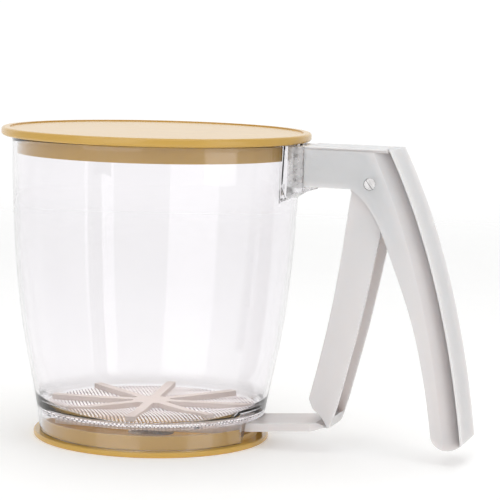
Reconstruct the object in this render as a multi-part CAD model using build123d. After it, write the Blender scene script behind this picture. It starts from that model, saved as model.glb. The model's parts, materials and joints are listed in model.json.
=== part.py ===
from build123d import *
import math
import os

# One-hand flour sifter. Millimetres, +Z up, origin on the cup's axis at the table, handle along +X.

# Cup
RIM_R = 60.4            # outer radius at the rim
RIM_Z = 126.4           # top of the rim
WALL = 1.8              # cup wall
CUP_OUTER = [(RIM_R, RIM_Z), (60.0, 104.0), (58.3, 74.0), (54.9, 44.5), (49.5, 16.5), (47.4, 2.5)]
SKIRT_FOOT_Z = 2.5      # lower edge of the skirt
SKIRT_R = 45.8          # bore of the skirt below the mesh
SHOULDER_R = 45.0       # bore of the shoulder that the mesh is seated under
SHOULDER_Z = 12.45      # underside of the shoulder
NOTCH_HALF = 13.2       # half width of the skirt's notch for the push arm
NOTCH_TOP = 11.0

# Handle bracket, moulded on the cup
BRACKET_X = (57.6, 67.9)
BRACKET_HALF = 12.0
BRACKET_Z = (107.4, 126.2)
SLOT_X = 65.0           # back of the T-slot
SLOT_LIP_X = 66.6       # where the T-slot narrows
SLOT_HALF, SLOT_LIP_HALF = 10.5, 9.2
SLOT_FLOOR_Z = 109.4
BAY_X, BAY_HALF = (60.9, 63.4), 10.2  # hollow between the slot and the cup's wall
BRACKET_BORE_R = 58.55  # the bracket stays outside this, clear of the lid's plug
GUSSET_IN = 3.0         # the gusset starts this far in from the bracket's face
GUSSET_DROP = 4.5
GUSSET_FOOT_X = 58.4

# Lid and bottom cap
LID_R = 65.0
LID_Z = (126.7, 130.2)
LID_PLUG_R = 58.4
LID_PLUG_Z = 119.8
LID_EDGE = 1.2          # radius of the lid's edges
LID_RIM = 3.4           # width of the raised rim
LID_RECESS = 0.5
PLUG_WALL = 1.6
CAP_R = 50.0
CAP_TOP_Z = 2.2
CAP_PLUG_R = 45.6
CAP_PLUG_Z = 8.4
CAP_EDGE = 0.7
CAP_GATE_Z = 4.9        # top of the plug where the push arm passes over it
CAP_GATE_HALF = 13.8

# Sieve and agitator
MESH_THICK = 0.5
MESH_R, MESH_HOLE_R = 45.5, 2.6
FRAME_THICK = 0.9
FRAME_R, FRAME_BORE_R = 45.7, 43.2
FRAME_RIB_HALF = 1.2
FRAME_RIBS = 4
BUSH_R, BUSH_DROP = 5.0, 0.2  # bush for the axle, lower than the ribs
SPOKES = 8
SPOKE_TURN = 9.3        # degrees from +X to the first spoke
SPOKE_R, SPOKE_WIDTH = 43.6, 4.0
SPOKE_Z = (12.75, 14.95)
HUB_R = 8.0
AXLE_R = 2.0
AXLE_FLAT = 1.5         # distance from the axle's centre to its drive flat
SCREW_R = 0.8           # shank of the screw that holds the pinion on the axle
PILOT_ROOF = 1.0        # solid left above the screw's hole

# Rack and pinion under the mesh
MODULE = 1.0
TEETH = 15
PRESSURE = math.radians(20)
BACKLASH = 0.22
RACK_ADDENDUM = 0.85    # short, so the rack clears the small pinion's roots
PITCH_R = MODULE * TEETH / 2
PINION_Z = (5.2, 10.6)
FLANGE_R, FLANGE_Z = 9.6, 4.6
SEAT_Z = 6.4            # where the washer bears under the axle's end
POCKET_R = 2.6          # pocket in the pinion for the washer and screw head
WASHER = (0.9, 2.45, 0.4)  # bore radius, outer radius, thickness
SCREW_HEAD_TOP_R, SCREW_HEAD_DEEP = 2.0, 1.2
CROSS_HALF, CROSS_WIDE, CROSS_DEEP = 1.2, 0.2, 0.5  # cross recess of the pinion's screw
SCREW_LONG = 5.0
STROKE = 25.0           # travel of the push arm

# Push arm
ARM_Z = (7.1, 10.5)
ARM_HALF = 12.4
ARM_BEND_X = 47.5       # where the arm starts to rise outside the skirt
ARM_INNER_X = -38.5
ARM_RISE = 0.09         # slope of the arm outside the skirt
ARM_NECK = 4.6          # length of the taper to the flexing web
ARM_SHOULDER = 6.0      # the arm narrows to the trigger's width from here to the web
WINDOW_HALF = 9.4       # room for the pinion's flange in the arm's window
WINDOW_Y = -9.1
HINGE = (79.9, 11.3)    # axis of the flexing web, X and Z
WEB_X = (79.4, 80.2)
WEB_Z = (10.95, 11.65)

# Handle
PIVOT = (95.9, 112.4)   # trigger pivot, X and Z
HANDLE_HALF = 11.4      # outside of the side walls
HANDLE_BORE = 9.9       # inside of the side walls
HANDLE_WALL = 1.6
ARM_END_X = 68.0
ARM_TOP_Z, ARM_BOTTOM_Z = 126.6, 110.0
ARM_WEB_END_X = 86.2
COVER_THICK = 2.0       # at the seat, thinner at the edges
COVER_HALF = 12.2
COVER_CORNER = 3.5      # radius of the cover's lower corners
COVER_END_Z = 7.9       # lower end of the cover
GROOVE = [(7.0, 0.0), (5.2, 0.45), (3.2, 1.6), (1.5, 3.0), (0.0, 4.4)]  # distance from the cover, depth
GROOVE_TOP_Z = 125.2    # the groove beside the cover stops under the handle's top
COVER_EDGE = 0.8        # thickness of the cover's thin edges
COVER_SEAT = 7.0        # half width where the cover is full thickness
HOLLOW = [(10.6, HANDLE_BORE), (6.6, 8.9), (3.6, 5.2)]  # inset from the palm, half width
HOLLOW_FLOOR_Z = 11.0
REVEAL_Z = (125.3, 126.0)  # thin shadow groove under the handle's top edge
REVEAL_DEPTH = 0.6
RIB_HEIGHTS = (88.0, 62.0, 36.0)
RIB_THICK = 1.4
PALM = [(104.4, ARM_TOP_Z), (115.4, 102.2), (126.4, 68.6), (133.0, 39.6), (137.7, 9.5)]
LEG_INSIDE = [(90.0, 108.6), (95.9, 102.6), (104.3, 85.8), (114.0, 60.5), (120.6, 35.0), (124.5, 10.8)]
LEG_FOOT = (130.5, 6.2)  # lowest point of the leg's rounded end

# Trigger
TRIGGER_HALF = 9.5
TRIGGER_WALL = 1.8
HEAD_R = 7.2            # rounded head round the pivot
HEAD_START = math.radians(34)  # where the round of the head starts, below level
HEAD_HALF = 8.5         # half width of the head where the handle narrows
HEAD_STEP = (96.5, 103.5)  # X and Z where the head becomes narrower
TRIGGER_FRONT = [(87.9, 108.5), (85.8, 92.0), (82.4, 68.6), (77.8, 45.0), (72.4, 22.6)]
TRIGGER_BACK = [(82.1, 12.4), (84.6, 20.5), (87.6, 32.3), (92.0, 50.0), (95.7, 67.0), (100.6, 92.0)]
TRIGGER_NAPE = (99.9, 104.5)  # the back edge pulled in under the head
TRIGGER_WEB = 2.0       # thickness of the channel's front
CHANNEL_TOP_Z = 100.0
TOE = [(74.2, 18.6), (77.6, 15.8), (79.6, 13.0), (80.2, 11.8)]
TOE_INSIDE = [(76.2, 20.4), (79.6, 17.2), (81.6, 14.6)]
TOE_FOOT = [(80.2, 10.8), (81.3, 10.9)]

# Pivot hardware and return spring
BARREL_R = 2.5
SCREW_HEAD_R = 2.45
SCREW_HEAD = 1.0
SCREW_SINK = 0.2        # the head and the barrel's far end stay below the handle's sides
SCREW_SLOT = (0.9, 0.7) # width and depth
SCREW_SLOT_TURN = 52    # degrees
SCREW_END_Y = 6.0
SCREW_SHANK_R = 1.2
RUNNING = 0.05          # radial clearance of a running fit
SPRING_R, SPRING_WIRE, SPRING_TURNS = 3.6, 0.8, 5
SPRING_PITCH = 0.95
SPRING_LEG_UP, SPRING_LEG_DOWN = 9.8, 9.0
SPRING_GAP = 4.0        # half width of the slot in the trigger head
SPRING_GAP_X, SPRING_GAP_Z = -5.6, 99.0  # front of that slot from the pivot, and its floor

PAST = 20.0             # cutting tools reach at least this far past what they cut


def extrude_y(face_xz, half):
    """A sketch drawn on the XZ plane, extruded to both sides of Y = 0."""
    return extrude(face_xz, amount=half, both=True)


def polygon_xz(points, half):
    return extrude_y(make_face(Plane.XZ * Polyline(*points, close=True)), half)


def block(x, y, z):
    """A box from pairs of limits."""
    size = [b - a for a, b in (x, y, z)]
    centre = [(a + b) / 2 for a, b in (x, y, z)]
    return Pos(*centre) * Box(*size)


def tube(r_in, r_out, z_low, z_high):
    height = z_high - z_low
    ring = Cylinder(r_out, height) - Cylinder(r_in, height)
    return Pos(0, 0, (z_low + z_high) / 2) * ring


def disc(radius, z_low, z_high):
    return Pos(0, 0, (z_low + z_high) / 2) * Cylinder(radius, z_high - z_low)


def cross_pin(radius, y_low, y_high, x, z):
    pin = Rot(90, 0, 0) * Cylinder(radius, y_high - y_low)
    return Pos(x, (y_low + y_high) / 2, z) * pin


def shifted(points, dx, dz=0.0):
    return [(x + dx, z + dz) for x, z in points]


# Cup, lid and cap

def cup_profile():
    """Half section of the wall, the shoulder over the mesh and the skirt."""
    outer = Spline(*CUP_OUTER)
    inner_points = [(r - WALL, z) for r, z in CUP_OUTER[:-1]]
    inner = Spline(*inner_points)
    foot = Polyline(CUP_OUTER[-1], (SKIRT_R, SKIRT_FOOT_Z), (SKIRT_R, SHOULDER_Z),
                    (SHOULDER_R, SHOULDER_Z), (SHOULDER_R, SHOULDER_Z + 0.9), inner_points[-1])
    rim = Line(inner_points[0], CUP_OUTER[0])
    return make_face(Plane.XZ * (Curve() + [outer, inner, foot, rim]))


def bracket():
    low, high = BRACKET_Z
    root_x, face_x = BRACKET_X
    body = block(BRACKET_X, (-BRACKET_HALF, BRACKET_HALF), (low, high))
    gusset = polygon_xz([(root_x, low), (face_x - GUSSET_IN, low), (GUSSET_FOOT_X, low - GUSSET_DROP),
                         (root_x, low - GUSSET_DROP)], BRACKET_HALF)
    inner_bay = block(BAY_X, (-BAY_HALF, BAY_HALF), (SLOT_FLOOR_Z, high))
    t_slot = block((SLOT_X, SLOT_LIP_X), (-SLOT_HALF, SLOT_HALF), (SLOT_FLOOR_Z, high))
    mouth = block((SLOT_X, face_x), (-SLOT_LIP_HALF, SLOT_LIP_HALF), (SLOT_FLOOR_Z, high))
    bore = disc(BRACKET_BORE_R, 0.0, high + PAST)
    return body + gusset - inner_bay - t_slot - mouth - bore


def cup_body():
    wall = revolve(cup_profile(), Axis.Z)
    notch = block((SKIRT_R - PAST, SKIRT_R + PAST), (-NOTCH_HALF, NOTCH_HALF), (0.0, NOTCH_TOP))
    return wall + bracket() - notch


def top_lid():
    low, high = LID_Z
    plate = disc(LID_R, low, high)
    plate = fillet(plate.edges().filter_by(GeomType.CIRCLE), LID_EDGE)
    recess = disc(LID_R - LID_RIM, high - LID_RECESS, high + PAST)
    plug = tube(LID_PLUG_R - PLUG_WALL, LID_PLUG_R, LID_PLUG_Z, low)
    return plate - recess + plug


def bottom_cap():
    flange = disc(CAP_R, 0.0, CAP_TOP_Z)
    flange = fillet(flange.edges().filter_by(GeomType.CIRCLE), CAP_EDGE)
    plug = tube(CAP_PLUG_R - PLUG_WALL, CAP_PLUG_R, CAP_TOP_Z, CAP_PLUG_Z)
    gate = block((CAP_R - 1.5 * PAST, CAP_R + PAST), (-CAP_GATE_HALF, CAP_GATE_HALF),
                 (CAP_GATE_Z, CAP_PLUG_Z + PAST))
    return flange + plug - gate


# Sieve

def sieve_mesh():
    return tube(MESH_HOLE_R, MESH_R, SHOULDER_Z - MESH_THICK, SHOULDER_Z)


def sieve_frame():
    """Ring under the mesh's edge, with ribs to the axle's bush."""
    top = SHOULDER_Z - MESH_THICK
    low = top - FRAME_THICK
    frame = tube(FRAME_BORE_R, FRAME_R, low, top)
    rib = block((BUSH_R - 1.0, FRAME_BORE_R + 1.0), (-FRAME_RIB_HALF, FRAME_RIB_HALF), (low, top))
    for turn in range(FRAME_RIBS):
        frame += Rot(0, 0, (turn + 0.5) * 360 / FRAME_RIBS) * rib
    frame += disc(BUSH_R, low - BUSH_DROP, top)
    return frame - disc(AXLE_R + RUNNING, 0.0, PAST)


# Agitator and its drive

def agitator_wheel():
    low, high = SPOKE_Z
    wheel = disc(HUB_R, low, high)
    for i in range(SPOKES):
        spoke = block((0.0, SPOKE_R), (-SPOKE_WIDTH / 2, SPOKE_WIDTH / 2), (low, high))
        wheel += Rot(0, 0, SPOKE_TURN + i * 360 / SPOKES) * spoke
    axle = disc(AXLE_R, SEAT_Z, low)
    flat = block((AXLE_FLAT, PAST), (-PAST, PAST), (0.0, PINION_Z[1]))
    pilot = disc(SCREW_R, 0.0, low - PILOT_ROOF)
    return wheel + (axle - flat) - pilot


def involute_point(base_r, roll, start):
    """Point on an involute of the base circle, turned by start."""
    angle = start + roll - math.atan(roll)
    radius = base_r * math.hypot(1.0, roll)
    return (radius * math.cos(angle), radius * math.sin(angle))


def pinion_tooth():
    """One involute tooth, symmetrical about +X, reaching below the root circle."""
    base_r = PITCH_R * math.cos(PRESSURE)
    tip_r = PITCH_R + MODULE
    half_tooth = math.pi / (2 * TEETH) - BACKLASH / (2 * PITCH_R)
    start = -half_tooth - (math.tan(PRESSURE) - PRESSURE)
    tip_roll = math.sqrt((tip_r / base_r) ** 2 - 1)
    low_flank = [involute_point(base_r, tip_roll * i / 4, start) for i in range(5)]
    high_flank = [(x, -y) for x, y in reversed(low_flank)]
    foot_r = PITCH_R - 1.6 * MODULE
    foot = [(foot_r * math.cos(start), foot_r * math.sin(start))]
    outline = Curve() + [
        Line(foot[0], low_flank[0]),
        Spline(*low_flank),
        Line(low_flank[-1], high_flank[0]),
        Spline(*high_flank),
        Line(high_flank[-1], (foot[0][0], -foot[0][1])),
        Line((foot[0][0], -foot[0][1]), foot[0]),
    ]
    return extrude(make_face(outline), amount=PINION_Z[1] - PINION_Z[0])


def drive_pinion():
    low, high = PINION_Z
    pinion = disc(PITCH_R - 1.25 * MODULE, FLANGE_Z, high)
    tooth = Pos(0, 0, low) * pinion_tooth()
    for i in range(TEETH):
        pinion += Rot(0, 0, 90 + i * 360 / TEETH) * tooth
    pinion += disc(FLANGE_R, FLANGE_Z, low)
    bore = disc(AXLE_R, SEAT_Z, high + PAST) - block((AXLE_FLAT, PAST), (-PAST, PAST), (0.0, high + PAST))
    return pinion - bore - disc(POCKET_R, 0.0, SEAT_Z)


def pinion_washer():
    bore_r, outer_r, thick = WASHER
    return tube(bore_r, outer_r, SEAT_Z - thick, SEAT_Z)


def pinion_screw():
    top = SEAT_Z - WASHER[2]
    low = top - SCREW_HEAD_DEEP
    head = disc(SCREW_HEAD_TOP_R, low, top)
    for across, along in ((CROSS_HALF, CROSS_WIDE), (CROSS_WIDE, CROSS_HALF)):
        head -= block((-across, across), (-along, along), (0.0, low + CROSS_DEEP))
    return head + disc(SCREW_R, top, top + SCREW_LONG)


def rack_gap():
    """The space between two rack teeth, on the pinion's side of the rack."""
    pitch = math.pi * MODULE
    half = pitch / 4 + BACKLASH / 4
    tip_y, root_y = PITCH_R - 1.4 * MODULE, PITCH_R + 1.25 * MODULE
    lean = math.tan(PRESSURE)
    wide = half + (PITCH_R - tip_y) * lean
    narrow = half - (root_y - PITCH_R) * lean
    corners = Polyline((-wide, tip_y), (wide, tip_y), (narrow, root_y), (-narrow, root_y), close=True)
    return Pos(0, 0, ARM_Z[0] - 1) * extrude(make_face(corners), amount=ARM_Z[1] - ARM_Z[0] + 2)


def arm_side():
    """Side view of the push arm: level inside the skirt, rising outside it, thin at the web."""
    low, high = ARM_Z
    web_low, web_high = WEB_Z
    shoulder_x = HINGE[0] - ARM_NECK
    lift = (shoulder_x - ARM_BEND_X) * ARM_RISE
    return [(ARM_INNER_X, low), (ARM_BEND_X, low), (shoulder_x, low + lift), (WEB_X[0], web_low),
            (WEB_X[0], web_high), (shoulder_x + 0.6, high + lift), (ARM_BEND_X, high), (ARM_INNER_X, high)]


def push_arm():
    """Flat arm with a window for the pinion, and a rack along one side of it."""
    arm = polygon_xz(arm_side(), ARM_HALF)
    for sign in (-1, 1):
        side_y, toe_y = sign * (ARM_HALF + 0.1), sign * TRIGGER_HALF
        outside = Polyline((HINGE[0] - ARM_SHOULDER, side_y), (HINGE[0] + 2.0, side_y),
                           (HINGE[0] + 2.0, toe_y), (HINGE[0] - 2.0, toe_y), close=True)
        arm -= extrude(make_face(outside), amount=2 * PAST)
    arm -= block((-STROKE - WINDOW_HALF, WINDOW_HALF), (WINDOW_Y, PITCH_R - RACK_ADDENDUM), (0.0, PAST))
    pitch = math.pi * MODULE
    reach = WINDOW_HALF - 1.4
    for i in range(math.ceil((-STROKE - reach) / pitch), math.ceil(reach / pitch)):
        arm -= Pos(i * pitch, 0, 0) * rack_gap()
    return arm


# Handle

def handle_side():
    """Side view of the whole handle, with its palm cover."""
    edges = Curve() + [
        Polyline(LEG_INSIDE[0], (ARM_WEB_END_X + HANDLE_WALL, ARM_BOTTOM_Z), (ARM_END_X, ARM_BOTTOM_Z),
                 (ARM_END_X, ARM_TOP_Z), PALM[0]),
        Spline(*PALM),
        ThreePointArc(PALM[-1], LEG_FOOT, LEG_INSIDE[-1]),
        Spline(*LEG_INSIDE),
    ]
    return make_face(Plane.XZ * edges)


def behind(inset, low_z=-5.0, high_z=140.0):
    """Everything on the palm side of a line that runs inset from the palm's curve."""
    palm = shifted(PALM, -inset)
    (x0, z0), (x1, z1) = palm[:2]
    top = (x0 + (x0 - x1) * (high_z - z0) / (z0 - z1), high_z)
    bottom = (palm[-1][0] + 1.0, low_z)
    far_x = PALM[-1][0] + 60.0
    edges = Curve() + [
        Line(top, palm[0]),
        Spline(*palm),
        Polyline(palm[-1], bottom, (far_x, low_z), (far_x, high_z), top),
    ]
    return make_face(Plane.XZ * edges)


def groove(sign):
    """The hollow beside the palm cover: the side wall curves in and under the cover's edge."""
    sections = []
    for distance, depth in GROOVE:
        upright = HANDLE_HALF - depth if depth else HANDLE_HALF + 0.5
        section = behind(COVER_THICK + distance, high_z=150.0)
        sections.append(Pos(0, sign * upright, 0) * section)
    below_top = block((0.0, PALM[-1][0] + 100.0), (-2 * PAST, 2 * PAST), (-PAST, GROOVE_TOP_Z))
    return loft(sections) & below_top


def hollow(inset, half):
    """The handle's hollow, open towards the trigger, up to a line inset from the palm."""
    palm = shifted(PALM, -inset)
    top = ARM_TOP_Z - HANDLE_WALL
    palm[0] = (palm[0][0] + 0.5, top)
    palm[-1] = (palm[-1][0], HOLLOW_FLOOR_Z)
    opening = shifted(LEG_INSIDE, -6.0)
    arm_floor = ARM_BOTTOM_Z + HANDLE_WALL
    arm_end = ARM_END_X + HANDLE_WALL
    edges = Curve() + [
        Polyline(opening[0], (ARM_WEB_END_X, 100.0), (ARM_WEB_END_X, arm_floor), (arm_end, arm_floor),
                 (arm_end, top), palm[0]),
        Spline(*palm),
        Line(palm[-1], opening[-1]),
        Spline(*opening),
    ]
    return extrude_y(make_face(Plane.XZ * edges), half)


def handle_tongue():
    """T-shaped tongue that slides down into the cup's bracket."""
    z = (SLOT_FLOOR_Z + 0.2, BRACKET_Z[1])
    head = block((SLOT_X + 0.1, SLOT_LIP_X - 0.1), (-SLOT_HALF + 0.2, SLOT_HALF - 0.2), z)
    neck = block((SLOT_LIP_X - 0.2, ARM_END_X + 0.5), (-SLOT_LIP_HALF + 0.1, SLOT_LIP_HALF - 0.1), z)
    return head + neck


def curve_x(points, z):
    """X of an outline at a height, between its listed points."""
    for (x0, z0), (x1, z1) in zip(points, points[1:]):
        if z1 <= z <= z0:
            return x0 + (x1 - x0) * (z0 - z) / (z0 - z1)
    return points[-1][0]


def cross_rib(z):
    """A stiffening rib across the narrow hollow behind the palm cover."""
    inset, half = HOLLOW[-1]
    end = curve_x(PALM, z) - inset + 1.0
    start = end - GROOVE[0][0] + 0.5
    return block((start, end), (-half - 0.5, half + 0.5), (z - RIB_THICK / 2, z + RIB_THICK / 2))


def handle_shell():
    shell = extrude_y(handle_side(), HANDLE_HALF) - extrude_y(behind(COVER_THICK), PAST)
    for sign in (-1, 1):
        shell -= groove(sign)
        reveal_y = sorted((sign * (HANDLE_HALF - REVEAL_DEPTH), sign * (HANDLE_HALF + 1.0)))
        shell -= block((ARM_END_X - 1.0, PALM[0][0] - COVER_THICK), reveal_y, REVEAL_Z)
    for inset, half in HOLLOW:
        shell -= hollow(inset, half)
    shell += handle_tongue()
    for z in RIB_HEIGHTS:
        shell += cross_rib(z)
    shell -= cross_pin(BARREL_R + 0.02, -HANDLE_HALF - 1, HANDLE_HALF + 1, *PIVOT)
    return shell


def cover_wing(sign):
    """One side of the cover, thinner towards its edge."""
    inner = Pos(0, sign * COVER_SEAT, 0) * behind(COVER_THICK)
    outer = Pos(0, sign * COVER_HALF, 0) * behind(COVER_EDGE)
    return loft([inner, outer])


def palm_cover():
    """Smooth strip that closes the handle's back, wider than the walls beside it."""
    cover = extrude_y(behind(COVER_THICK), COVER_SEAT) + cover_wing(-1) + cover_wing(1)
    cover &= extrude_y(handle_side(), COVER_HALF)
    high_z = ARM_TOP_Z + 2 * COVER_CORNER
    rear_view = Pos(0, (COVER_END_Z + high_z) / 2) * RectangleRounded(
        2 * COVER_HALF, high_z - COVER_END_Z, COVER_CORNER)
    return cover & extrude(Plane.YZ * rear_view, amount=10 * PAST)


# Trigger and pivot

def trigger_outline():
    px, pz = PIVOT
    head_left = TRIGGER_FRONT[0]
    head_right = (px + HEAD_R * math.cos(HEAD_START), pz - HEAD_R * math.sin(HEAD_START))
    edges = Curve() + [
        Spline(*TRIGGER_FRONT),
        Polyline(TRIGGER_FRONT[-1], *TOE, *TOE_FOOT, TRIGGER_BACK[0]),
        Spline(*TRIGGER_BACK),
        Polyline(TRIGGER_BACK[-1], TRIGGER_NAPE, head_right),
        ThreePointArc(head_right, (px, pz + HEAD_R), head_left),
    ]
    return make_face(Plane.XZ * edges)


def trigger_channel():
    """Hollow of the trigger, open towards the handle's leg."""
    front = shifted(TRIGGER_FRONT, TRIGGER_WEB)
    front[0] = (front[0][0], CHANNEL_TOP_Z)
    far_x = TRIGGER_NAPE[0] + PAST
    edges = Curve() + [
        Spline(*front),
        Polyline(front[-1], *TOE_INSIDE, (90.0, 22.0), (far_x, 60.0), (far_x, CHANNEL_TOP_Z), front[0]),
    ]
    return extrude_y(make_face(Plane.XZ * edges), TRIGGER_HALF - TRIGGER_WALL)


def trigger():
    body = extrude_y(trigger_outline(), TRIGGER_HALF) - trigger_channel()
    px, pz = PIVOT
    body -= block((px + SPRING_GAP_X, px + PAST), (-SPRING_GAP, SPRING_GAP), (SPRING_GAP_Z, pz + PAST))
    for sign in (-1, 1):
        side = sorted((sign * HEAD_HALF, sign * (TRIGGER_HALF + 1.0)))
        body -= block((HEAD_STEP[0], px + PAST), side, (HEAD_STEP[1], pz + PAST))
    body -= cross_pin(BARREL_R + RUNNING, -PAST, PAST, px, pz)
    return body


def living_hinge():
    """The thin flexing web between the trigger's toe and the push arm."""
    return block(WEB_X, (-TRIGGER_HALF, TRIGGER_HALF), WEB_Z)


def pivot_barrel():
    px, pz = PIVOT
    near = -HANDLE_HALF + SCREW_SINK + SCREW_HEAD
    barrel = cross_pin(BARREL_R, near, HANDLE_HALF - SCREW_SINK, px, pz)
    return barrel - cross_pin(SCREW_SHANK_R, near - 1.0, SCREW_END_Y + 2.0, px, pz)


def pivot_screw():
    px, pz = PIVOT
    outer = -HANDLE_HALF + SCREW_SINK
    wide, deep = SCREW_SLOT
    head = cross_pin(SCREW_HEAD_R, outer, outer + SCREW_HEAD, px, pz)
    slot = Pos(px, outer, pz) * (Rot(0, SCREW_SLOT_TURN, 0) * Box(3 * SCREW_HEAD_R, 2 * deep, wide))
    shank = cross_pin(SCREW_SHANK_R, outer + SCREW_HEAD, SCREW_END_Y, px, pz)
    return head - slot + shank


def return_spring():
    """Torsion spring round the barrel: one leg in the handle's top, one behind the trigger's web."""
    px, pz = PIVOT
    half = SPRING_PITCH * SPRING_TURNS / 2
    path = Helix(pitch=SPRING_PITCH, height=2 * half, radius=SPRING_R)
    section = Plane(origin=path @ 0, z_dir=path % 0) * Circle(SPRING_WIRE / 2)
    coil = sweep(section, path=path, is_frenet=True)
    coil = Pos(px, half, pz) * (Rot(90, 0, 0) * coil)
    leg_x = px + SPRING_R
    upper = Pos(leg_x, half, pz + SPRING_LEG_UP / 2) * Cylinder(SPRING_WIRE / 2, SPRING_LEG_UP)
    lower = Pos(leg_x, -half, pz - SPRING_LEG_DOWN / 2) * Cylinder(SPRING_WIRE / 2, SPRING_LEG_DOWN)
    return coil + upper + lower


NODES = {
    "cup_body": cup_body,
    "sieve_mesh": sieve_mesh,
    "sieve_frame": sieve_frame,
    "agitator_wheel": agitator_wheel,
    "drive_pinion": drive_pinion,
    "pinion_washer": pinion_washer,
    "pinion_screw": pinion_screw,
    "push_arm": push_arm,
    "living_hinge": living_hinge,
    "trigger": trigger,
    "handle_shell": handle_shell,
    "palm_cover": palm_cover,
    "pivot_barrel": pivot_barrel,
    "pivot_screw": pivot_screw,
    "return_spring": return_spring,
    "top_lid": top_lid,
    "bottom_cap": bottom_cap,
}

os.makedirs("parts", exist_ok=True)
for name, make in NODES.items():
    export_step(make(), "parts/" + name + ".step")
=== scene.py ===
import json
import math

import bmesh
import bpy
from mathutils import Matrix, Vector


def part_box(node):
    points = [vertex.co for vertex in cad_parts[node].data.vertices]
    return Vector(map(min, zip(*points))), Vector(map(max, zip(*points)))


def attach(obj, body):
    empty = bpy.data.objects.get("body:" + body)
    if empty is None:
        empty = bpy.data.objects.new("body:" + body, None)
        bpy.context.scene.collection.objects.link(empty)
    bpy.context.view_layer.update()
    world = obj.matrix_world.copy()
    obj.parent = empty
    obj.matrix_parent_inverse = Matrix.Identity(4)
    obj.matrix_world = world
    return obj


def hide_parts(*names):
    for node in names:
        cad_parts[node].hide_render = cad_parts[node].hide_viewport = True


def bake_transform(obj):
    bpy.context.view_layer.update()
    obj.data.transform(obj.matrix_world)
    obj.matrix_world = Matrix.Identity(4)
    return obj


# One-hand flour sifter, in metres, in the CAD frame: +Z up, the origin on the cup's axis at the table,
# the handle along +X.

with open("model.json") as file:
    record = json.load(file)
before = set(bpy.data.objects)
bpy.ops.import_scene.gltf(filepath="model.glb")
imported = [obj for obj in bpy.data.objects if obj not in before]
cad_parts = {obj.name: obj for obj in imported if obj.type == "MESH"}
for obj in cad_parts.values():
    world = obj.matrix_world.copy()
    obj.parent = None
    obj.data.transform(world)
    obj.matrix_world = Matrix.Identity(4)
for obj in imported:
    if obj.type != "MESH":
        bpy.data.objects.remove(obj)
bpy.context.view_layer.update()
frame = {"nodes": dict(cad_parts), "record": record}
MM = 0.001
TAU = 2 * math.pi


# ---------------------------------------------------------------- mesh helpers

SHARP_DEGREES = 24.0            # sharper edges of the mouldings are rounded
FLAT_DEGREES = 0.6              # CAD triangles that differ by less are one face
MERGE_DISTANCE = 0.002 * MM
BOOLEAN_PAST = 5.0              # how far a cutter reaches past what it cuts, in millimetres


def new_piece(name, bm):
    """A mesh object made from a bmesh, which is freed."""
    mesh = bpy.data.meshes.new(name)
    bm.normal_update()
    bm.to_mesh(mesh)
    bm.free()
    for attribute in ("custom_normal", "sharp_face"):
        if attribute in mesh.attributes:
            mesh.attributes.remove(mesh.attributes[attribute])
    piece = bpy.data.objects.new(name, mesh)
    bpy.context.scene.collection.objects.link(piece)
    return piece


def smooth_by_angle(piece, degrees):
    """Smooth shading, with edges sharper than the angle kept crisp."""
    bm = bmesh.new()
    bm.from_mesh(piece.data)
    limit = math.radians(degrees)
    for face in bm.faces:
        face.smooth = True
    for edge in bm.edges:
        edge.smooth = len(edge.link_faces) == 2 and edge.calc_face_angle(0.0) < limit
    bm.to_mesh(piece.data)
    bm.free()


def rounded(points, radii, steps=4):
    """A polyline with its inner corners turned into arcs. radii has one value for each point."""
    path = []
    for i, (point, radius) in enumerate(zip(points, radii)):
        corner = Vector(point)
        if radius == 0 or i in (0, len(points) - 1):
            path.append(corner)
            continue
        to_last = (Vector(points[i - 1]) - corner).normalized()
        to_next = (Vector(points[i + 1]) - corner).normalized()
        half_turn = to_last.angle(to_next) / 2
        reach = radius / math.tan(half_turn)
        centre = corner + (to_last + to_next).normalized() * radius / math.sin(half_turn)
        start = corner + to_last * reach - centre
        end = corner + to_next * reach - centre
        for k in range(steps + 1):
            path.append(centre + start.slerp(end, k / steps).normalized() * radius)
    return path


def lathe(name, profile, segments):
    """Turns a profile of (radius, height) points round Z.

    The profile is a closed loop unless it starts and ends on the axis.
    """
    bm = bmesh.new()
    rings = []
    for radius, height in profile:
        if radius < 1e-7:
            rings.append([bm.verts.new((0.0, 0.0, height))] * segments)
            continue
        turn = [TAU * k / segments for k in range(segments)]
        rings.append([bm.verts.new((radius * math.cos(a), radius * math.sin(a), height)) for a in turn])
    open_profile = profile[0][0] < 1e-7
    pairs = list(zip(rings, rings[1:] if open_profile else rings[1:] + rings[:1]))
    for low, high in pairs:
        for k in range(segments):
            corners = []
            for vert in (low[k], low[k - 1], high[k - 1], high[k]):
                if vert not in corners:
                    corners.append(vert)
            if len(corners) > 2:
                bm.faces.new(corners)
    bmesh.ops.recalc_face_normals(bm, faces=bm.faces)
    return new_piece(name, bm)


def smooth_curve(points, steps):
    """A natural-looking curve through (a, b) points, as Catmull-Rom spans."""
    ends = [Vector(points[0]) * 2 - Vector(points[1]), Vector(points[-1]) * 2 - Vector(points[-2])]
    p = [ends[0], *map(Vector, points), ends[1]]
    path = []
    for i in range(1, len(p) - 2):
        for k in range(steps):
            t = k / steps
            path.append(0.5 * (2 * p[i] + (p[i + 1] - p[i - 1]) * t
                               + (2 * p[i - 1] - 5 * p[i] + 4 * p[i + 1] - p[i + 2]) * t ** 2
                               + (3 * p[i] - p[i - 1] - 3 * p[i + 1] + p[i + 2]) * t ** 3))
    path.append(p[-2])
    return path


def block(name, x, y, z):
    """A box from pairs of limits, for cutting and joining."""
    bm = bmesh.new()
    bmesh.ops.create_cube(bm, size=1.0)
    for vert in bm.verts:
        for axis, (low, high) in enumerate((x, y, z)):
            vert.co[axis] = low if vert.co[axis] < 0 else high
    return new_piece(name, bm)


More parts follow.
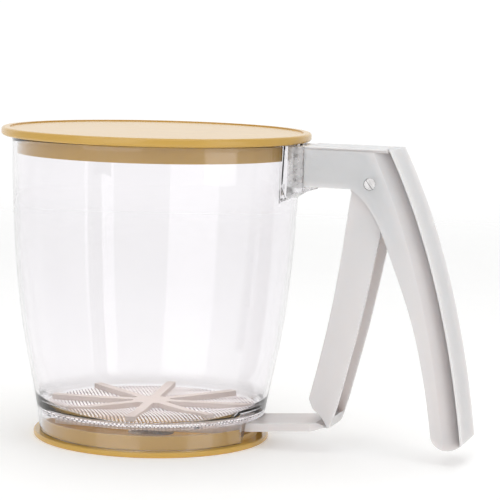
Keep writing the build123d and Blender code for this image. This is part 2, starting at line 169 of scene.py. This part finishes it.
def apply_modifiers(piece):
    """Keeps what the piece's modifiers make as its own mesh."""
    bpy.context.view_layer.update()
    graph = bpy.context.evaluated_depsgraph_get()
    result = bpy.data.meshes.new_from_object(piece.evaluated_get(graph), preserve_all_data_layers=True,
                                             depsgraph=graph)
    piece.modifiers.clear()
    piece.data = result


def combine(piece, other, operation):
    """Exact boolean of two pieces; the other one is used up."""
    modifier = piece.modifiers.new("combine", "BOOLEAN")
    modifier.operation = operation
    modifier.solver = "EXACT"
    modifier.object = other
    apply_modifiers(piece)
    bpy.data.objects.remove(other)


def flat_faces_flat(piece):
    """Normals follow the large faces, so that only the rounded edges catch the light differently."""
    modifier = piece.modifiers.new("weighted", "WEIGHTED_NORMAL")
    modifier.keep_sharp = True
    apply_modifiers(piece)


def bevel_sharp_edges(bm, radius):
    limit = math.radians(SHARP_DEGREES)
    sharp = [e for e in bm.edges if e.calc_face_angle(0.0) > limit]
    bmesh.ops.bevel(bm, geom=sharp, offset=radius, offset_type="OFFSET", segments=2,
                    profile=0.5, affect="EDGES", clamp_overlap=True)


def round_edges(piece, radius):
    bm = bmesh.new()
    bm.from_mesh(piece.data)
    bevel_sharp_edges(bm, radius)
    bm.to_mesh(piece.data)
    bm.free()


def moulded_copy(node, radius):
    """A CAD node's shape with its triangles merged into faces and its sharp edges rounded."""
    bm = bmesh.new()
    bm.from_mesh(frame["nodes"][node].data)
    bmesh.ops.remove_doubles(bm, verts=bm.verts, dist=MERGE_DISTANCE)
    bmesh.ops.dissolve_limit(bm, angle_limit=math.radians(FLAT_DEGREES), verts=bm.verts, edges=bm.edges)
    bevel_sharp_edges(bm, radius)
    piece = new_piece(node + "_moulded", bm)
    smooth_by_angle(piece, 35.0)
    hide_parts(node)
    flat_faces_flat(piece)
    return piece


# ---------------------------------------------------------------- materials

class Nodes:
    """Short spelling for one material's node tree."""

    def __init__(self, name):
        self.material = bpy.data.materials.new(name)
        self.material.use_nodes = True
        self.tree = self.material.node_tree
        self.shader = self.tree.nodes["Principled BSDF"]
        self.output = self.tree.nodes["Material Output"]
        self.place = self.add("ShaderNodeTexCoord").outputs["Object"]

    def add(self, kind, **inputs):
        node = self.tree.nodes.new(kind)
        for name, value in inputs.items():
            node.inputs[name.replace("_", " ")].default_value = value
        return node

    def link(self, a, b):
        self.tree.links.new(a, b)

    def set(self, **values):
        for name, value in values.items():
            self.shader.inputs[name.replace("_", " ")].default_value = value

    def feed(self, **sources):
        for name, source in sources.items():
            self.link(source, self.shader.inputs[name.replace("_", " ")])

    def axis(self, letter):
        axes = self.add("ShaderNodeSeparateXYZ")
        self.link(self.place, axes.inputs["Vector"])
        return axes.outputs[letter]

    def noise(self, scale, detail=3.0, roughness=0.5):
        noise = self.add("ShaderNodeTexNoise", Scale=scale, Detail=detail, Roughness=roughness)
        self.link(self.place, noise.inputs["Vector"])
        return noise.outputs["Fac"]

    def ramp(self, value, low, high, start=0.3, end=0.7):
        """Maps a value from start..end to low..high, as colours or numbers."""
        ramp = self.add("ShaderNodeValToRGB")
        for stop, at, level in zip(ramp.color_ramp.elements, (start, end), (low, high)):
            stop.position = at
            stop.color = (*level, 1.0) if hasattr(level, "__len__") else (level, level, level, 1.0)
        self.link(value, ramp.inputs["Fac"])
        return ramp.outputs["Color"]

    def rise(self, value, start, end, least=0.0, curve="LINEAR"):
        """Goes from least to 1 as the value goes from start to end."""
        rise = self.add("ShaderNodeMapRange")
        rise.interpolation_type = curve
        for limit, at in (("From Min", start), ("From Max", end), ("To Min", least)):
            rise.inputs[limit].default_value = at
        self.link(value, rise.inputs["Value"])
        return rise.outputs["Result"]

    def combined(self, operation, a, b):
        node = self.add("ShaderNodeMath")
        node.operation = operation
        self.link(a, node.inputs[0])
        self.link(b, node.inputs[1])
        return node.outputs["Value"]

    def scaled(self, color, by):
        scale = self.add("ShaderNodeVectorMath")
        scale.operation = "SCALE"
        self.link(color, scale.inputs[0])
        self.link(by, scale.inputs["Scale"])
        return scale.outputs["Vector"]

    def bump(self, value, depth, strength=1.0):
        bump = self.add("ShaderNodeBump", Strength=strength, Distance=depth)
        self.link(value, bump.inputs["Height"])
        self.feed(Normal=bump.outputs["Normal"])


RECESS_SHADE_REACH = 9.0 * MM             # how far off other surfaces count as the sides of a groove, for the painted shade in it
FOOT_SHADE_TOP = 115.0 * MM               # height below which a painted shade darkens a moulding towards the floor; above it the moulding has its full tone
# along +X: the painted groove shade fades out from the first value to the second, so none is painted under the
# clear bracket
UNDER_BRACKET = 78.0 * MM, 70.0 * MM
FROST_START = 61.2 * MM, 61.8 * MM  # along +X, from the cup's wall to its bracket
FROST_OPAQUE = 0.6                  # frost that would let no light straight through
MESH_TURN = math.radians(-30.0)


def moulded_plastic(name, deep, pale, gloss, grain, grain_depth,
                    subsurface=0.0, foot=1.0, recess_shade=1.0, glow=0.0):
    """Injection-moulded plastic: slow tone changes, uneven gloss and a fine moulded grain.

    The tone falls towards the floor to the share foot, a painted shade for the dimmer light low down, and to
    the share recess deep in grooves and between parts, a painted shade for the light that other surfaces keep
    off, except under the clear bracket. The glow stands for the light that a clear cup round it scatters.
    """
    n = Nodes(name)
    # painted shade in grooves and between parts: ambient occlusion darkens the tone down to the share recess
    occlusion_light = n.add("ShaderNodeAmbientOcclusion", Distance=RECESS_SHADE_REACH).outputs["AO"]
    unshaded_share = n.combined("MAXIMUM", occlusion_light, n.rise(n.axis("X"), *UNDER_BRACKET))
    tone = n.ramp(n.noise(28.0, 2.0), deep, pale, 0.1, 0.9)
    # painted shade: the tone falls towards the floor, for the dimmer light low down
    tone = n.scaled(tone, n.rise(n.axis("Z"), 0.0, FOOT_SHADE_TOP, foot))
    tone = n.scaled(tone, n.rise(unshaded_share, 0.0, 1.0, recess_shade))
    roughness = n.ramp(n.noise(140.0, 2.0), 0.88 * gloss, 1.12 * gloss, 0.1, 0.9)
    n.feed(Base_Color=tone, Roughness=roughness)
    n.bump(n.noise(grain, 3.0, 0.6), grain_depth)
    n.set(IOR=1.5, Emission_Color=(*pale, 1.0), Emission_Strength=glow)
    if subsurface:
        n.set(Subsurface_Weight=subsurface, Subsurface_Scale=5.0 * MM, Subsurface_Radius=(1.0, 0.9, 0.84))
    return n.material


def clear_plastic():
    """Clear styrene: faint lilac in depth, slight ripples, fine scuffs and a bracket with patches of frost."""
    n = Nodes("clear_plastic")
    patches = n.ramp(n.noise(300.0, 2.0), 0.10, 0.34)
    frost = n.combined("MULTIPLY", n.rise(n.axis("X"), *FROST_START), patches)
    scuffs = n.ramp(n.noise(60.0, 5.0), 0.0, 0.03, 0.35, 0.75)
    tint = n.ramp(n.noise(22.0, 2.0), (0.948, 0.938, 0.952), (0.962, 0.954, 0.966))
    n.set(IOR=1.49)
    n.feed(Base_Color=tint, Roughness=n.combined("ADD", scuffs, frost))
    n.feed(Transmission_Weight=n.rise(frost, FROST_OPAQUE, 0.0))
    n.bump(n.noise(38.0, 2.0), 0.05 * MM, 0.2)
    depth = n.add("ShaderNodeVolumeAbsorption", Density=7.0)
    depth.inputs["Color"].default_value = (0.40, 0.34, 0.44, 1.0)
    n.link(depth.outputs["Volume"], n.output.inputs["Volume"])
    return n.material


def woven_steel():
    """Bright wire with slanted dark stripes of painted shade for the shaded gaps between its highlights, and a
    painted glow for the light that the clear cup scatters on it.
    """
    n = Nodes("steel_mesh")
    turned = n.add("ShaderNodeMapping", Rotation=(0.0, 0.0, MESH_TURN))
    n.link(n.place, turned.inputs["Vector"])
    shade_wave = n.add("ShaderNodeTexWave", Scale=209.0, Distortion=0.4, Detail=1.0)
    n.link(turned.outputs["Vector"], shade_wave.inputs["Vector"])
    # painted shade: slanted dark stripes on the wires stand for the shaded gaps between the weave's
    # highlights; the glow follows them
    shade_dashes = n.ramp(shade_wave.outputs["Fac"], (0.20, 0.16, 0.18), (0.99, 0.97, 0.97), 0.15, 0.45)
    n.feed(Base_Color=shade_dashes, Emission_Color=shade_dashes, Roughness=n.ramp(n.noise(500.0, 3.0), 0.30, 0.45))
    n.set(Metallic=0.15, Emission_Strength=0.42)
    return n.material


def bright_steel():
    """Turned and lightly brushed steel for the small hardware."""
    n = Nodes("steel")
    tone = n.ramp(n.noise(700.0, 4.0), (0.52, 0.51, 0.51), (0.68, 0.67, 0.67))
    n.feed(Base_Color=tone, Roughness=n.ramp(n.noise(1600.0, 3.0), 0.22, 0.38))
    n.bump(n.noise(2600.0, 2.0), 0.003 * MM)
    n.set(Metallic=1.0)
    return n.material


MATERIALS = {
    "clear_plastic": clear_plastic(),
    "yellow_plastic": moulded_plastic("yellow_plastic", deep=(0.65, 0.395, 0.083), pale=(0.69, 0.42, 0.095),
                                      gloss=0.2, grain=350.0, grain_depth=0.0002 * MM),
    # the white mouldings get painted shade towards the floor and deep in grooves
    "white_plastic": moulded_plastic("white_plastic", deep=(0.82, 0.785, 0.785), pale=(0.84, 0.805, 0.805),
                                     gloss=0.32, grain=1800.0, grain_depth=0.003 * MM,
                                     subsurface=1.0, foot=0.86, recess_shade=0.74),
    "ivory_plastic": moulded_plastic("ivory_plastic", deep=(0.70, 0.61, 0.57), pale=(0.75, 0.67, 0.63),
                                     gloss=0.40, grain=1800.0, grain_depth=0.004 * MM, glow=0.05),
    "steel_mesh": woven_steel(),
    "steel": bright_steel(),
}


def finish_as(piece, slot):
    piece.data.materials.clear()
    piece.data.materials.append(MATERIALS[slot])


# ---------------------------------------------------------------- cup

RIM_R, RIM_Z = 60.4, 126.4
WALL = 1.8
CROWN = 0.6                     # height of the rim's crown, as a share of half the wall
CUP_OUTER = [(RIM_R, RIM_Z), (60.0, 104.0), (58.3, 74.0), (54.9, 44.5), (49.5, 16.5), (47.4, 2.5)]
SKIRT_R = 45.8
SHOULDER_R, SHOULDER_Z, SHOULDER_H = 45.0, 12.45, 0.9
NOTCH_X, NOTCH_HALF, NOTCH_Z = (30.0, 60.0), 13.2, (-BOOLEAN_PAST, 11.0)


def cup_wall():
    """Tapered wall with a rounded rim, the ledge over the mesh and the skirt below it."""
    outer = smooth_curve(CUP_OUTER, 10)
    inner = [Vector((r - WALL, z)) for r, z in smooth_curve(CUP_OUTER[:-1], 10)]
    inner.reverse()
    rim, rise = WALL / 2, WALL / 2 * CROWN
    outer[0] = Vector((RIM_R, RIM_Z - rise))
    inner[-1] = Vector((RIM_R - WALL, RIM_Z - rise))
    crown = [Vector((RIM_R - rim + rim * math.cos(a), RIM_Z - rise + rise * math.sin(a)))
             for a in (math.pi * k / 8 for k in range(7, 0, -1))]
    foot = rounded([outer[-1], (SKIRT_R, CUP_OUTER[-1][1]), (SKIRT_R, SHOULDER_Z), (SHOULDER_R, SHOULDER_Z),
                    (SHOULDER_R, SHOULDER_Z + SHOULDER_H), inner[0]], [0, 0.3, 0, 0.25, 0.35, 0])[1:-1]
    profile = [tuple(p * MM) for p in [*outer, *foot, *inner, *crown]]
    return lathe("cup", profile, 256)


BRACKET_ROOT_X, BRACKET_FACE_X, BRACKET_HALF, BRACKET_Z = 57.0, 67.9, 12.0, (107.4, 126.2)
SLOPE_START, SLOPE_END_X, SLOPE_DROP = 3.0, 58.4, 4.5
BAY_X, BAY_HALF = (60.9, 63.4), 10.2
SLOT_X, SLOT_LIP_X, SLOT_HALF, SLOT_LIP_HALF, SLOT_FLOOR_Z = 65.0, 66.6, 10.5, 9.2, 109.4
MOUTH_END_X = 80.0
BORE = [(0.0, 90.0), (57.8, 90.0), (58.7, 130.0), (0.0, 130.0)]


def block_mm(name, x, y, z):
    return block(name, *[(low * MM, high * MM) for low, high in (x, y, z)])


def prism_y(name, points, half):
    """A solid with an outline of (x, z) points in millimetres, from -half to half along Y."""
    bm = bmesh.new()
    near = [bm.verts.new((x * MM, -half * MM, z * MM)) for x, z in points]
    far = [bm.verts.new((x * MM, half * MM, z * MM)) for x, z in points]
    bm.faces.new(near)
    bm.faces.new(list(reversed(far)))
    for i in range(len(points)):
        bm.faces.new((near[i], near[i - 1], far[i - 1], far[i]))
    bmesh.ops.recalc_face_normals(bm, faces=bm.faces)
    return new_piece(name, bm)


def handle_bracket():
    """Clear socket with a hollow bay and a T-slot for the handle's tongue, kept outside the cup's bore."""
    low, high = BRACKET_Z
    outline = [(BRACKET_ROOT_X, high), (BRACKET_FACE_X, high), (BRACKET_FACE_X, low),
               (BRACKET_FACE_X - SLOPE_START, low), (SLOPE_END_X, low - SLOPE_DROP),
               (BRACKET_ROOT_X, low - SLOPE_DROP)]
    bracket = prism_y("bracket", outline, BRACKET_HALF)
    round_edges(bracket, 0.5 * MM)
    depth = SLOT_FLOOR_Z, high + BOOLEAN_PAST
    bay = block_mm("bay", BAY_X, (-BAY_HALF, BAY_HALF), depth)
    round_edges(bay, 0.6 * MM)
    slot = block_mm("slot", (SLOT_X, SLOT_LIP_X), (-SLOT_HALF, SLOT_HALF), depth)
    mouth = block_mm("mouth", (SLOT_X, MOUTH_END_X), (-SLOT_LIP_HALF, SLOT_LIP_HALF), depth)
    bore = lathe("bore", [(radius * MM, z * MM) for radius, z in BORE], 128)
    for cutter in (bay, slot, mouth, bore):
        combine(bracket, cutter, "DIFFERENCE")
    return bracket


cup = cup_wall()
combine(cup, handle_bracket(), "UNION")
combine(cup, block_mm("notch", NOTCH_X, (-NOTCH_HALF, NOTCH_HALF), NOTCH_Z), "DIFFERENCE")
smooth_by_angle(cup, 32.0)
finish_as(cup, "clear_plastic")
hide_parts("cup_body")
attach(cup, "root")


# ---------------------------------------------------------------- sieve

PITCH, WIRE_R = 1.5 * MM, 0.19 * MM
AXLE_HOLE_R = 2.6 * MM
WEAVE_TURN = math.radians(38.0)


def woven_disc():
    """Plain weave: each wire rises over one crossing and dips under the next."""
    low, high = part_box("sieve_mesh")
    radius, middle = high.x, (low.z + high.z) / 2
    bm = bmesh.new()
    count = int(radius / PITCH)
    for crosswise in (False, True):
        for line in range(-count, count + 1):
            offset = line * PITCH
            reach = math.sqrt(max(radius ** 2 - offset ** 2, 0.0))
            steps = int(reach / (PITCH / 2))
            if steps < 2:
                continue
            last = None
            for k in range(-steps, steps + 1):
                along = k * PITCH / 2
                sign = 1 if (line + (k // 2 if k % 2 == 0 else 0) + crosswise) % 2 == 0 else -1
                rise = sign * WIRE_R if k % 2 == 0 else 0.0
                if math.hypot(along, offset) < AXLE_HOLE_R:
                    last = None
                    continue
                ring = []
                for side, up in ((WIRE_R, 0.0), (0.0, WIRE_R), (-WIRE_R, 0.0), (0.0, -WIRE_R)):
                    x, y = (offset + side, along) if crosswise else (along, offset + side)
                    ring.append(bm.verts.new((x, y, middle + rise + up)))
                if last:
                    for i in range(4):
                        bm.faces.new((last[i], last[i - 1], ring[i - 1], ring[i]))
                last = ring
    bmesh.ops.rotate(bm, verts=bm.verts, cent=(0, 0, 0), matrix=Matrix.Rotation(WEAVE_TURN, 3, "Z"))
    bmesh.ops.recalc_face_normals(bm, faces=bm.faces)
    return new_piece("woven_mesh", bm)


weave = woven_disc()
smooth_by_angle(weave, 180.0)
finish_as(weave, "steel_mesh")
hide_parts("sieve_mesh")
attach(weave, "root")


# ---------------------------------------------------------------- plastic mouldings

# slot, body and edge radius in millimetres
MOULDINGS = {
    "agitator_wheel": ("ivory_plastic", "agitator", 0.3),
    "handle_shell": ("white_plastic", "root", 0.35),
    "palm_cover": ("white_plastic", "root", 0.25),
    "trigger": ("white_plastic", "trigger", 0.35),
    "push_arm": ("white_plastic", "push_arm", 0.3),
    "top_lid": ("yellow_plastic", "top_lid", 0.2),
    "bottom_cap": ("yellow_plastic", "bottom_cap", 0.2),
    "pivot_screw": ("steel", "root", 0.25),
}

for node, (slot, body, radius) in MOULDINGS.items():
    piece = moulded_copy(node, radius * MM)
    finish_as(piece, slot)
    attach(piece, body)


# ---------------------------------------------------------------- spring and hinge web, which flex on the real sifter

def wire(bm, path, radius, sides=8):
    """A round wire along a path, with closed ends."""
    last = None
    for i, place in enumerate(path):
        along = (path[min(i + 1, len(path) - 1)] - path[max(i - 1, 0)]).normalized()
        across = along.orthogonal() if last is None else (across - along * across.dot(along))
        across = across.normalized()
        up = along.cross(across)
        ring = [bm.verts.new(place + (across * math.cos(a) + up * math.sin(a)) * radius)
                for a in (TAU * k / sides for k in range(sides))]
        if last:
            for k in range(sides):
                bm.faces.new((last[k - 1], last[k], ring[k], ring[k - 1]))
        else:
            bm.faces.new(list(reversed(ring)))
        last = ring
    bm.faces.new(last)


PIVOT_Z = 112.4 * MM


def torsion_spring():
    """Coil round the trigger's barrel, with one leg up in the handle and one down behind the trigger."""
    low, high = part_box("return_spring")
    wire_r, coil_r, turns, steps = 0.4 * MM, 3.6 * MM, 5, 24
    pivot_x = high.x - coil_r - wire_r
    start_y, end_y = high.y - wire_r, low.y + wire_r
    coil = []
    for k in range(turns * steps + 1):
        angle = TAU * k / steps
        y = start_y + (end_y - start_y) * k / (turns * steps)
        coil.append(Vector((pivot_x + coil_r * math.cos(angle), y, PIVOT_Z + coil_r * math.sin(angle))))
    bm = bmesh.new()
    wire(bm, coil, wire_r)
    for start, end_z in ((coil[0], high.z), (coil[-1], low.z)):
        end = Vector((*start.xy, end_z))
        wire(bm, [start, start.lerp(end, 0.5), end], wire_r)
    spring = new_piece("torsion_spring", bm)
    smooth_by_angle(spring, 50.0)
    finish_as(spring, "steel")
    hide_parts("return_spring")
    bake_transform(spring)


def flexing_web():
    """Thin web between the push arm and the trigger's toe, with enough rows to bend smoothly."""
    low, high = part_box("living_hinge")
    steps, waist = 8, 0.1 * MM
    bm = bmesh.new()
    rows = []
    for k in range(steps + 1):
        x = low.x + (high.x - low.x) * k / steps
        pinch = waist * math.sin(math.pi * k / steps)
        under, over = low.z + pinch, high.z - pinch
        corners = ((low.y, under), (high.y, under), (high.y, over), (low.y, over))
        rows.append([bm.verts.new((x, y, z)) for y, z in corners])
    for last, row in zip(rows, rows[1:]):
        for k in range(4):
            bm.faces.new((last[k - 1], last[k], row[k], row[k - 1]))
    bm.faces.new(rows[0])
    bm.faces.new(rows[-1])
    bmesh.ops.recalc_face_normals(bm, faces=bm.faces)
    web = new_piece("hinge_web", bm)
    smooth_by_angle(web, 40.0)
    finish_as(web, "white_plastic")
    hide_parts("living_hinge")
    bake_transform(web)


torsion_spring()
flexing_web()


# ---------------------------------------------------------------- CAD nodes that stay

for part in frame["record"]["subparts"]:
    node = frame["nodes"][part["node"]]
    if not node.hide_render:
        node.data.materials.clear()
        node.data.materials.append(MATERIALS[part["material_slot"]])


# ---------------------------------------------------------------- stage, light and camera

WHITE = (1.0, 1.0, 1.0, 1.0)
FLOOR_SIZE, FLOOR_GAP = 8.0, 0.05 * MM
FLOOR_FADE = 0.25, 1.3
BACKDROP, FRONT = 1.04, 0.3
BACKDROP_SIDE, BACKDROP_EDGE = (-0.35, 0.94, 0.0), (0.2, 0.8)


def make_stage():
    """Pale floor that fades into the studio's white, so that no horizon shows."""
    bm = bmesh.new()
    bmesh.ops.create_grid(bm, x_segments=1, y_segments=1, size=FLOOR_SIZE)
    floor = new_piece("floor", bm)
    floor.location.z = -FLOOR_GAP
    n = Nodes("pale_floor")
    n.set(Base_Color=(0.93, 0.93, 0.925, 1.0), Roughness=0.7, Specular_IOR_Level=0.2)
    n.set(Emission_Color=WHITE, Emission_Strength=0.22)
    distance = n.add("ShaderNodeVectorMath")
    distance.operation = "LENGTH"
    n.link(n.place, distance.inputs[0])
    mix = n.add("ShaderNodeMixShader")
    n.link(n.rise(distance.outputs["Value"], *FLOOR_FADE, curve="SMOOTHSTEP"), mix.inputs["Fac"])
    n.link(n.shader.outputs["BSDF"], mix.inputs[1])
    n.link(n.add("ShaderNodeBsdfTransparent").outputs["BSDF"], mix.inputs[2])
    n.link(mix.outputs["Shader"], n.output.inputs["Surface"])
    floor.data.materials.append(n.material)


def make_world():
    """A white sweep behind the object and a dimmer room in front; clear parts pass the sweep's white on."""
    world = bpy.data.worlds.new("studio")
    bpy.context.scene.world = world
    world.use_nodes = True
    tree = world.node_tree
    new, link = tree.nodes.new, tree.links.new
    front, backdrop = tree.nodes["Background"], new("ShaderNodeBackground")
    for background, strength in ((front, FRONT), (backdrop, BACKDROP)):
        background.inputs["Color"].default_value = (1.0, 1.0, 0.997, 1.0)
        background.inputs["Strength"].default_value = strength
    behind = new("ShaderNodeVectorMath")
    behind.operation = "DOT_PRODUCT"
    behind.inputs[1].default_value = BACKDROP_SIDE
    link(new("ShaderNodeTexCoord").outputs["Generated"], behind.inputs[0])
    sweep = new("ShaderNodeMapRange")
    sweep.interpolation_type = "SMOOTHSTEP"
    sweep.inputs["From Min"].default_value, sweep.inputs["From Max"].default_value = BACKDROP_EDGE
    link(behind.outputs["Value"], sweep.inputs["Value"])
    path = new("ShaderNodeLightPath")
    level = sweep.outputs["Result"]
    for ray, share in (("Is Camera Ray", 1.0), ("Is Transmission Ray", 1.0), ("Is Glossy Ray", 0.5)):
        part, brighter = new("ShaderNodeMath"), new("ShaderNodeMath")
        part.operation, brighter.operation = "MULTIPLY", "MAXIMUM"
        link(path.outputs[ray], part.inputs[0])
        part.inputs[1].default_value = share
        link(level, brighter.inputs[0])
        link(part.outputs["Value"], brighter.inputs[1])
        level = brighter.outputs["Value"]
    mix = new("ShaderNodeMixShader")
    link(level, mix.inputs["Fac"])
    link(front.outputs["Background"], mix.inputs[1])
    link(backdrop.outputs["Background"], mix.inputs[2])
    link(mix.outputs["Shader"], tree.nodes["World Output"].inputs["Surface"])


def area_light(name, place, size, power, target=(0.03, 0.0, 0.06), shown=True):
    """A soft rectangle of light, never seen directly; one that isn't shown has no reflection either."""
    data = bpy.data.lights.new(name, "AREA")
    data.shape = "RECTANGLE"
    data.size, data.size_y = size
    data.energy = power
    lamp = bpy.data.objects.new(name, data)
    lamp.location = place
    lamp.rotation_euler = (Vector(place) - Vector(target)).to_track_quat("Z", "Y").to_euler()
    lamp.visible_camera = False
    lamp.visible_glossy = lamp.visible_transmission = shown
    bpy.context.scene.collection.objects.link(lamp)


def make_camera():
    """Stands 0.87 m from the cup's axis, a little to the handle's side, and looks slightly down."""
    azimuth, yaw, pitch, roll = map(math.radians, (20.742, 2.667, 6.716, 1.461))
    distance, height = 0.8659, 0.18171
    heading = azimuth - yaw
    level = Vector((math.cos(heading), math.sin(heading), 0.0))
    ahead = Vector((-math.sin(heading), math.cos(heading), 0.0))
    forward = ahead * math.cos(pitch) - Vector((0.0, 0.0, math.sin(pitch)))
    upright = level.cross(forward)
    right = level * math.cos(roll) + upright * math.sin(roll)
    up = upright * math.cos(roll) - level * math.sin(roll)
    data = bpy.data.cameras.new("camera")
    data.sensor_width, data.lens = 36.0, 148.2
    data.clip_start, data.clip_end = 0.05, 50.0
    camera = bpy.data.objects.new("camera", data)
    turn = Matrix((right, up, -forward)).transposed().to_4x4()
    place = Vector((distance * math.sin(azimuth), -distance * math.cos(azimuth), height))
    camera.matrix_world = Matrix.Translation(place) @ turn
    bpy.context.scene.collection.objects.link(camera)
    bpy.context.scene.camera = camera


make_stage()
make_world()
area_light("overhead", (0.1, -0.1, 1.2), (1.2, 1.2), 7.2)
area_light("key", (-0.31, -1.26, 0.5), (1.2, 1.0), 4.8)
area_light("right", (1.25, -0.40, 0.42), (0.7, 1.0), 2.6)
area_light("under_lid", (0.0, 0.0, 0.116), (0.075, 0.075), 0.07, target=(0.0, 0.0, 0.0), shown=False)
make_camera()
bpy.context.scene.view_settings.view_transform = "Standard"
